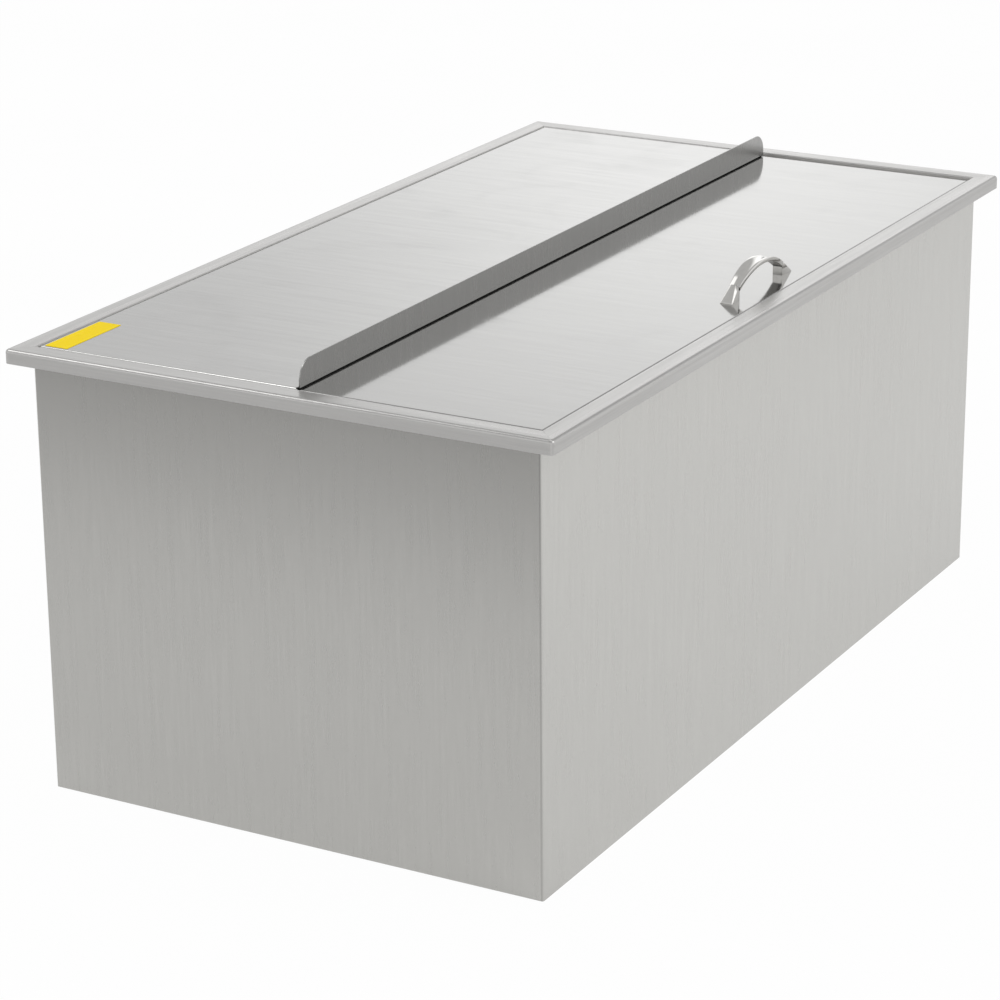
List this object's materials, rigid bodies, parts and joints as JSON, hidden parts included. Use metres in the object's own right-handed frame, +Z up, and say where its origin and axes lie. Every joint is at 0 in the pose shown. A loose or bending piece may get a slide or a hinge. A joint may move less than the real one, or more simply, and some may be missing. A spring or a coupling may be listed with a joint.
{
  "type": "drop-in ice chest",
  "caption": "Insulated steel drop-in ice chest with a flat rim, a rear cover with an upturned grip and a sliding front cover with an arched handle.",
  "frame": {"origin": "middle of the flat underside, on the plane that the chest stands on", "axes": "+X along the chest, +Y from the handle side to the back, +Z up"},
  "size_m": [0.914, 0.508, 0.4153],
  "materials": {
    "rim_steel": "satin",
    "shell_steel": "satin",
    "basin_steel": "satin",
    "cover_steel": "satin",
    "foam": "matte",
    "drain_steel": "polished",
    "black_rubber": "matte",
    "nut_plastic": "matte",
    "white_nylon": "satin",
    "handle_nickel": "satin",
    "screw_steel": "polished"
  },
  "bodies": {
    "chest": {"rim_front": "rim_steel", "rim_back": "rim_steel", "rim_left": "rim_steel", "rim_right": "rim_steel", "ledge_front": "rim_steel", "ledge_back": "rim_steel", "ledge_left": "rim_steel", "ledge_right": "rim_steel", "outer_shell": "shell_steel", "bottom_pan": "shell_steel", "inner_basin": "basin_steel", "insulation_front": "foam", "insulation_back": "foam", "insulation_left": "foam", "insulation_right": "foam", "insulation_base": "foam", "drain_body": "drain_steel", "drain_strainer": "drain_steel", "drain_gasket": "black_rubber", "drain_locknut": "nut_plastic"},
    "rear_lid": {"rear_cover": "cover_steel", "rear_cover_edges": "cover_steel"},
    "front_lid": {"front_cover": "cover_steel", "front_cover_edges": "cover_steel", "front_cover_stiffener": "cover_steel", "front_cover_glides": "white_nylon", "handle_bow": "handle_nickel", "handle_end_left": "handle_nickel", "handle_end_right": "handle_nickel", "handle_screws": "screw_steel", "handle_washers": "screw_steel"},
    "plug": {"drain_plug": "black_rubber"}
  },
  "joints": [
    {"name": "front_cover_slide", "type": "slide", "parent": "chest", "child": "front_lid", "axis": [0, 1, 0], "range_m": [0, 0.184]},
    {"name": "rear_cover_lift", "type": "slide", "parent": "chest", "child": "rear_lid", "axis": [0, 0, 1], "range_m": [0, 0.15]},
    {"name": "drain_plug_lift", "type": "slide", "parent": "chest", "child": "plug", "axis": [0, 0, 1], "range_m": [0, 0.25]}
  ]
}
